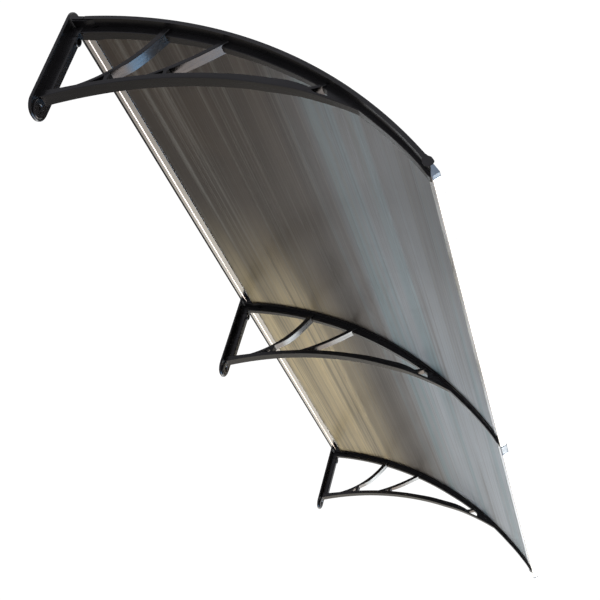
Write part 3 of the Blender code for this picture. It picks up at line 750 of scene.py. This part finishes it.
def smoked_sheet():
    """Smoked glazing sheet with fine drawn lines that run along the wall, and
    painted light and painted reflections laid into its colour by position.
    """
    m = Mat("smoked_sheet_streaked")
    fine = m.noise(260.0, 4.0, 0.65, m.stretched(0.0030, 1.0, 1.0))
    mid = m.noise(60.0, 4.0, 0.6, m.stretched(0.0060, 1.0, 1.0))
    wide = m.noise(17.0, 3.0, 0.5, m.stretched(0.010, 1.0, 1.0))
    broad = m.noise(9.0, 3.0, 0.5, m.stretched(0.05, 1.0, 1.0))
    cloud = m.noise(3.2, 3.0, 0.5, m.stretched(0.6, 1.0, 1.0))
    tone = m.mix(m.ranged(broad, 0.36, 0.64), (0.058, 0.044, 0.035),
                 (0.120, 0.096, 0.078))
    tone = m.mix(m.ranged(cloud, 0.46, 0.70, 0.0, 0.55), tone,
                 (0.105, 0.072, 0.048))
    # Painted light: a painted tan reflection by the wall that grows stronger
    # towards one end, and a painted bluish grey reflection by the drip bar.
    # Ramp along X that makes the painted tan reflection stronger towards +X.
    along = m.ranged(m.axis(0), -0.75, 0.35)
    tan = m.math("MULTIPLY", m.math("MULTIPLY", along,
                                    m.ranged(m.axis(1), -0.47, -0.20)),
                 m.ranged(wide, 0.30, 0.60, 0.55, 1.0))
    tone = m.mix(tan, tone, (0.960, 0.790, 0.470))
    # Painted bluish grey reflection towards the drip bar, stronger towards +X.
    pale = m.math("MULTIPLY", m.ranged(m.axis(0), -1.50, 0.40, 0.40, 1.0),
                  m.ranged(m.axis(1), -0.46, -0.74))
    tone = m.mix(pale, tone, (0.600, 0.660, 0.710))
    # Painted cyan reflection band across the middle of the sheet, stronger towards
    # +X, with darker streaks within the painted band.
    painted_reflection_band = m.math("MULTIPLY", m.ranged(m.axis(1), -0.46, -0.60),
                  m.ranged(m.axis(0), -1.20, 0.20, 0.45, 1.0))
    tone = m.mix(m.math("MULTIPLY", painted_reflection_band, m.ranged(wide, 0.50, 0.62, 0.0, 0.9)),
                 tone, (0.330, 0.480, 0.520))
    tone = m.mix(m.math("MULTIPLY", painted_reflection_band, m.ranged(wide, 0.44, 0.34, 0.0, 0.8)),
                 tone, (0.150, 0.112, 0.095))
    tone = m.mix(m.ranged(mid, 0.52, 0.68, 0.0, 0.50), tone,
                 (0.400, 0.385, 0.345))
    tone = m.mix(m.ranged(mid, 0.47, 0.33, 0.0, 0.55), tone,
                 (0.060, 0.045, 0.038))
    tone = m.mix(m.ranged(fine, 0.53, 0.74, 0.0, 0.50), tone,
                 (0.430, 0.420, 0.390))
    tone = m.mix(m.ranged(fine, 0.47, 0.28, 0.0, 0.60), tone,
                 (0.030, 0.025, 0.022))
    m.feed("Base Color", tone)
    m.feed("Roughness", m.ranged(mid, 0.35, 0.70, 0.32, 0.42))
    ribs = m.bump(fine, 0.26, 0.0006)
    m.feed("Normal", m.bump(mid, 0.12, 0.0016, ribs))
    m.set(IOR=1.52, Transmission_Weight=0.75)
    return m.mat


def aluminium():
    """Drawn bar: die lines along its length, a soft mill finish."""
    m = Mat("aluminium_drawn")
    lines = m.noise(520.0, 3.0, 0.6, m.stretched(0.006, 1.0, 1.0))
    haze = m.noise(11.0, 4.0, 0.6, m.stretched(0.25, 1.0, 1.0))
    tone = m.mix(m.ranged(haze, 0.35, 0.70), (0.80, 0.79, 0.77),
                 (0.90, 0.89, 0.87))
    m.feed("Base Color", m.mix(m.ranged(lines, 0.30, 0.10, 0.0, 0.5), tone,
                               (0.55, 0.54, 0.52)))
    m.feed("Roughness", m.ranged(haze, 0.30, 0.75, 0.17, 0.30))
    m.feed("Normal", m.bump(lines, 0.10, 0.0002))
    m.set(Metallic=1.0)
    return m.mat


def blue_grey_plastic():
    """Paler moulded plastic of the front bar's ends and sleeve."""
    m = Mat("blue_grey_plastic")
    flow = m.noise(30.0, 4.0, 0.6)
    m.feed("Base Color", m.mix(m.ranged(flow, 0.35, 0.7), (0.26, 0.34, 0.42),
                               (0.34, 0.42, 0.50)))
    m.feed("Roughness", m.ranged(m.noise(90.0), 0.3, 0.7, 0.22, 0.38))
    m.feed("Normal", m.bump(m.noise(900.0, 2.0), 0.08, 0.0003))
    return m.mat


def steel():
    """Plated screw steel with faint turning marks."""
    m = Mat("screw_steel")
    marks = m.noise(700.0, 3.0, 0.6)
    m.feed("Base Color", m.mix(m.ranged(marks, 0.3, 0.7), (0.50, 0.50, 0.50),
                               (0.64, 0.63, 0.61)))
    m.feed("Roughness", m.ranged(marks, 0.3, 0.7, 0.22, 0.42))
    m.feed("Normal", m.bump(marks, 0.10, 0.0001))
    m.set(Metallic=1.0)
    return m.mat


def rubber():
    m = Mat("seal_rubber")
    skin = m.noise(160.0, 4.0, 0.6)
    m.feed("Base Color", m.mix(m.ranged(skin, 0.3, 0.7), (0.014, 0.014, 0.014),
                               (0.030, 0.029, 0.028)))
    m.feed("Roughness", m.ranged(skin, 0.3, 0.7, 0.55, 0.80))
    m.feed("Normal", m.bump(skin, 0.20, 0.0004))
    return m.mat


def pale_floor():
    m = Mat("pale_floor")
    skin = m.noise(2.0, 5.0, 0.6)
    m.feed("Base Color", m.mix(m.ranged(skin, 0.3, 0.7), (0.78, 0.78, 0.77),
                               (0.82, 0.82, 0.81)))
    m.set(Roughness=0.75)
    return m.mat


BLACK, SMOKE, METAL = black_plastic(), smoked_sheet(), aluminium()
GREY, STEEL, RUBBER = blue_grey_plastic(), steel(), rubber()


# ----------------------------------------------------------------- pieces


def piece(name, mesh, mat, nodes, x=0.0, angle=34.0, bevel=0.0):
    """One visible piece that stands for these nodes of the frame."""
    mesh = mesh.copy()
    mesh.name = name
    mesh.transform(Matrix.Translation((x, 0.0, 0.0)))
    mesh.materials.clear()
    mesh.materials.append(mat)
    mesh.shade_smooth()
    mesh.set_sharp_from_angle(angle=math.radians(angle))
    obj = place_obj(name, mesh)
    if bevel > 0:
        edge = obj.modifiers.new("edge", "BEVEL")
        edge.width = bevel
        edge.segments = 2
        edge.limit_method = "ANGLE"
        edge.angle_limit = math.radians(40)
        edge.use_clamp_overlap = True
    even = obj.modifiers.new("even", "WEIGHTED_NORMAL")
    even.keep_sharp = True
    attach(obj, "root")
    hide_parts(*nodes)
    return obj


def rear_outline_fine():
    """The rear bar with the long ridge that its underside shows."""
    top_out = arc_z(R_SHEET_OUT + GAP, REAR_S1)
    low_in = arc_z(R_SHEET_IN - GAP, SHEET_REAR_S) - 0.0001
    return [(REAR_S0, REAR_Z0 + 0.0030), (REAR_S0 + 0.0004, REAR_Z0 + 0.0020),
            (REAR_S0 + 0.0012, REAR_Z0 + 0.0014), (0.0160, REAR_Z0 + 0.0012),
            (0.0238, REAR_Z0 + 0.0011), (0.0244, REAR_Z0 + 0.0004),
            (0.0250, REAR_Z0 + 0.0001), (0.0256, REAR_Z0),
            (0.0284, REAR_Z0 + 0.0014), (0.0292, REAR_Z0 + 0.0011),
            (REAR_S1 - 0.0034, REAR_Z0 + 0.0009),
            (REAR_S1 - 0.0028, REAR_Z0 + 0.0005),
            (REAR_S1, REAR_Z0 + 0.0005), (REAR_S1, low_in),
            (SHEET_REAR_S - 0.0008, low_in),
            (SHEET_REAR_S - 0.0008, top_out), (REAR_S1, top_out),
            (REAR_S1, top_out + 0.0010), (REAR_S1 - 0.0004, top_out + 0.0014),
            (REAR_S1 - 0.0012, top_out + 0.0017),
            (REAR_S0 + 0.0014, REAR_Z1), (REAR_S0 + 0.0004, REAR_Z1 - 0.0004),
            (REAR_S0, REAR_Z1 - 0.0014)]


def screw_piece_mesh(s):
    """A pan head with a cross recess, on its shank."""
    r, h = SCREW_HEAD_R, SCREW_HEAD_H
    profile = [(0.0006, -SCREW_L), (SCREW_R, -SCREW_L + 0.0020),
               (SCREW_R, GAP), (r, GAP), (r, h * 0.35), (r * 0.93, h * 0.62),
               (r * 0.76, h * 0.84), (r * 0.45, h * 0.97), (r * 0.12, h)]
    body = radial_round("screw", profile, 0.0, s, 24)
    cuts = []
    for wide, deep in ((0.0027, 0.00045), (0.00045, 0.0027)):
        ring = [(-wide, -deep), (wide, -deep), (wide, deep), (-wide, deep)]
        a = arc_angle(s)
        sp, zp = arc_point(ARC_R, a)
        rings = []
        for k, lift in ((0.55, h * 0.35), (1.0, h + 0.0008)):
            rings.append([(p * k, -(sp + q * k * math.cos(a) + lift * math.sin(a)),
                           zp - q * k * math.sin(a) + lift * math.cos(a))
                          for p, q in ring])
        cuts.append(loft("cross", rings))
    return combine("screw", body, (), cuts)


def build_pieces():
    ends = {"left": -PITCH, "middle": 0.0, "right": PITCH}
    sides = {"left": -1, "middle": 0, "right": 1}
    shape = bracket_mesh()
    for name, x in ends.items():
        piece("moulded_bracket_" + name, shape, BLACK,
              ["bracket_" + name], x)
        piece("cover_strip_" + name, cover_mesh("cover", sides[name]), BLACK,
              ["cover_" + name], x, bevel=0.0005)
    for i, s in enumerate(SCREW_S):
        shape = screw_piece_mesh(s)
        for name, x in ends.items():
            piece("cover_screw_%s_%d" % (name, i + 1), shape, STEEL,
                  ["screw_%s_%d" % (name, i + 1)], x)
    reach = PITCH + COVER_HW - 0.0002
    piece("glazing_left", sheet_mesh("glazing", -reach, -SEAM_HW, -PITCH), SMOKE,
          ["sheet_left"])
    piece("glazing_right", sheet_mesh("glazing", SEAM_HW, reach, PITCH), SMOKE,
          ["sheet_right"])

    tip = PITCH + COVER_HW - 0.0010
    bar = PITCH + BAR_END
    for name, side in (("left", -1), ("right", 1)):
        lo, hi = sorted((side * 0.0002, side * tip))
        piece("wall_bar_" + name,
              tube_prism("bar", rear_outline_fine(), rear_hollow(), lo, hi),
              METAL, ["rear_bar_" + name], angle=20.0)
        lo, hi = sorted((side * 0.0002, side * bar))
        piece("drip_bar_" + name,
              tube_prism("bar", front_outline(), front_hollow(), lo, hi),
              METAL, ["front_bar_" + name])

    piece("drip_bar_sleeve", prism_x("sleeve", sleeve_outline(), -0.033, 0.033),
          GREY, ["front_bar_joiner"], bevel=0.0003)

    for name, side in (("left", -1), ("right", 1)):
        lo, hi = sorted((side * (bar + GAP), side * (PITCH + SKIRT_X)))
        block = [(BOX_U1 - 0.0040, BOX_N0, 0.0026), (BOX_U1, BOX_N0, 0.0020),
                 (BOX_U1, BOX_N1, 0.0014), (BOX_U0 - 0.0012, BOX_N1, 0.0008),
                 (BOX_U0 - 0.0012, BOX_KNEE_N, 0.0008)]
        block = [front(u, n) for u, n in rounded(block, 5)]
        flap = [(0.0008, -0.0084, 0.0010), (BOX_U0 + 0.004, -0.0128, 0),
                (BOX_U0 + 0.004, -0.0006, 0), (0.0008, -0.0006, 0.0010)]
        flap = [front(u, n) for u, n in rounded(flap, 3)]
        f0, f1 = sorted((side * (PITCH + COVER_HW + GAP),
                         side * (PITCH + SKIRT_X - 0.0003)))
        p0, p1 = sorted((side * (bar - 0.018), side * (bar + 0.004)))
        plug = prism_x("plug", front_hollow(GAP), p0, p1)
        body = combine("cap", prism_x("block", block, lo, hi, 0.0006),
                       (plug, prism_x("flap", flap, f0, f1)))
        piece("drip_bar_end_" + name, body, GREY,
              ["front_bar_cap_" + name])

    for name in ("left", "right"):
        show_node("rear_bar_cap_" + name, BLACK)
        show_node("wall_seal_" + name, RUBBER)
    show_node("rear_bar_joiner", GREY)


def show_node(name, mat):
    """A node whose shape is right as it is gets its real material."""
    obj = NODES[name]
    if not obj.material_slots:
        obj.data.materials.append(mat)
    for slot in obj.material_slots:
        slot.material = mat


build_pieces()


# ------------------------------------------------------- light and camera


def set_world():
    """Soft studio surroundings: pale above, dark at one side, a large bright
    field low in front of the wall, and warm brown where the wall would be."""
    world = bpy.data.worlds.new("studio")
    bpy.context.scene.world = world
    world.use_nodes = True
    nodes, links = world.node_tree.nodes, world.node_tree.links
    nodes.clear()
    coords = nodes.new("ShaderNodeTexCoord")
    out = nodes.new("ShaderNodeOutputWorld")
    back = nodes.new("ShaderNodeBackground")
    links.new(back.outputs[0], out.inputs[0])

    def toward(direction, lo, hi):
        dot = nodes.new("ShaderNodeVectorMath")
        dot.operation = "DOT_PRODUCT"
        dot.inputs[1].default_value = Vector(direction).normalized()
        links.new(coords.outputs["Generated"], dot.inputs[0])
        span = nodes.new("ShaderNodeMapRange")
        span.interpolation_type = "SMOOTHSTEP"
        span.inputs["From Min"].default_value = lo
        span.inputs["From Max"].default_value = hi
        links.new(dot.outputs["Value"], span.inputs["Value"])
        return span.outputs["Result"]

    def over(amount, a, colour):
        node = nodes.new("ShaderNodeMix")
        node.data_type = "RGBA"
        links.new(amount, node.inputs[0])
        if isinstance(a, tuple):
            node.inputs[6].default_value = (*a, 1.0)
        else:
            links.new(a, node.inputs[6])
        node.inputs[7].default_value = (*colour, 1.0)
        return node.outputs[2]

    tone = over(toward((0, 1, 0), -0.15, 0.45), (0.42, 0.41, 0.42),
                (0.28, 0.255, 0.235))
    tone = over(toward((-1, 0, 0), 0.15, 0.60), tone, (0.44, 0.44, 0.49))
    tone = over(toward((0, 0, 1), 0.60, 0.95), tone, (1.25, 1.27, 1.30))
    tone = over(toward((0.95, 0.26, 0.20), 0.80, 0.98), tone,
                (1.30, 1.36, 1.42))
    tone = over(toward((0.92, 0.22, -0.31), 0.88, 0.99), tone,
                (0.74, 0.70, 0.63))
    tone = over(toward((0.86, -0.22, -0.47), 0.970, 0.990), tone,
                (3.4, 2.9, 2.5))
    tone = over(toward((0.60, -0.65, -0.40), 0.925, 0.960), tone,
                (2.8, 4.8, 7.4))
    tone = over(toward((0.87, -0.42, -0.27), 0.970, 0.986), tone,
                (9.0, 9.3, 9.3))
    tone = over(toward((0.68, -0.33, -0.64), 0.962, 0.985), tone,
                (4.6, 4.1, 3.9))
    links.new(tone, back.inputs["Color"])


def set_stage():
    """A pale floor, and a plain white surround that only the camera sees."""
    bm = bmesh.new()
    bmesh.ops.create_grid(bm, x_segments=8, y_segments=8, size=14.0)
    mesh = bpy.data.meshes.new("floor")
    bm.to_mesh(mesh)
    bm.free()
    mesh.materials.append(pale_floor())
    floor = place_obj("floor", mesh)
    floor.location = (0.0, -0.5, -2.35)
    floor.visible_glossy = floor.visible_diffuse = False

    bm = bmesh.new()
    bmesh.ops.create_uvsphere(bm, u_segments=32, v_segments=16, radius=70.0)
    mesh = bpy.data.meshes.new("surround")
    bm.to_mesh(mesh)
    bm.free()
    white = bpy.data.materials.new("surround_white")
    white.use_nodes = True
    nodes, links = white.node_tree.nodes, white.node_tree.links
    nodes.clear()
    glow = nodes.new("ShaderNodeEmission")
    glow.inputs["Strength"].default_value = 1.05
    out = nodes.new("ShaderNodeOutputMaterial")
    links.new(glow.outputs[0], out.inputs[0])
    mesh.materials.append(white)
    dome = place_obj("surround", mesh)
    for ray in ("diffuse", "glossy", "transmission", "volume_scatter", "shadow"):
        setattr(dome, "visible_" + ray, False)


def set_camera():
    data = bpy.data.cameras.new("camera")
    data.sensor_width = 36.0
    data.lens = 63.212
    data.clip_start, data.clip_end = 0.05, 300.0
    cam = bpy.data.objects.new("camera", data)
    bpy.context.scene.collection.objects.link(cam)
    ahead = Vector((0.83219, 0.34652, 0.43288)).normalized()
    right = Vector((0.25445, -0.93228, 0.25713))
    right = (right - ahead * right.dot(ahead)).normalized()
    up = right.cross(ahead)
    cam.matrix_world = Matrix.Translation((-3.2228, -1.5548, -1.4989)) @ Matrix((
        (right.x, up.x, -ahead.x), (right.y, up.y, -ahead.y),
        (right.z, up.z, -ahead.z))).to_4x4()
    bpy.context.scene.camera = cam


set_world()
set_stage()
set_camera()
bpy.context.scene.view_settings.view_transform = "Standard"
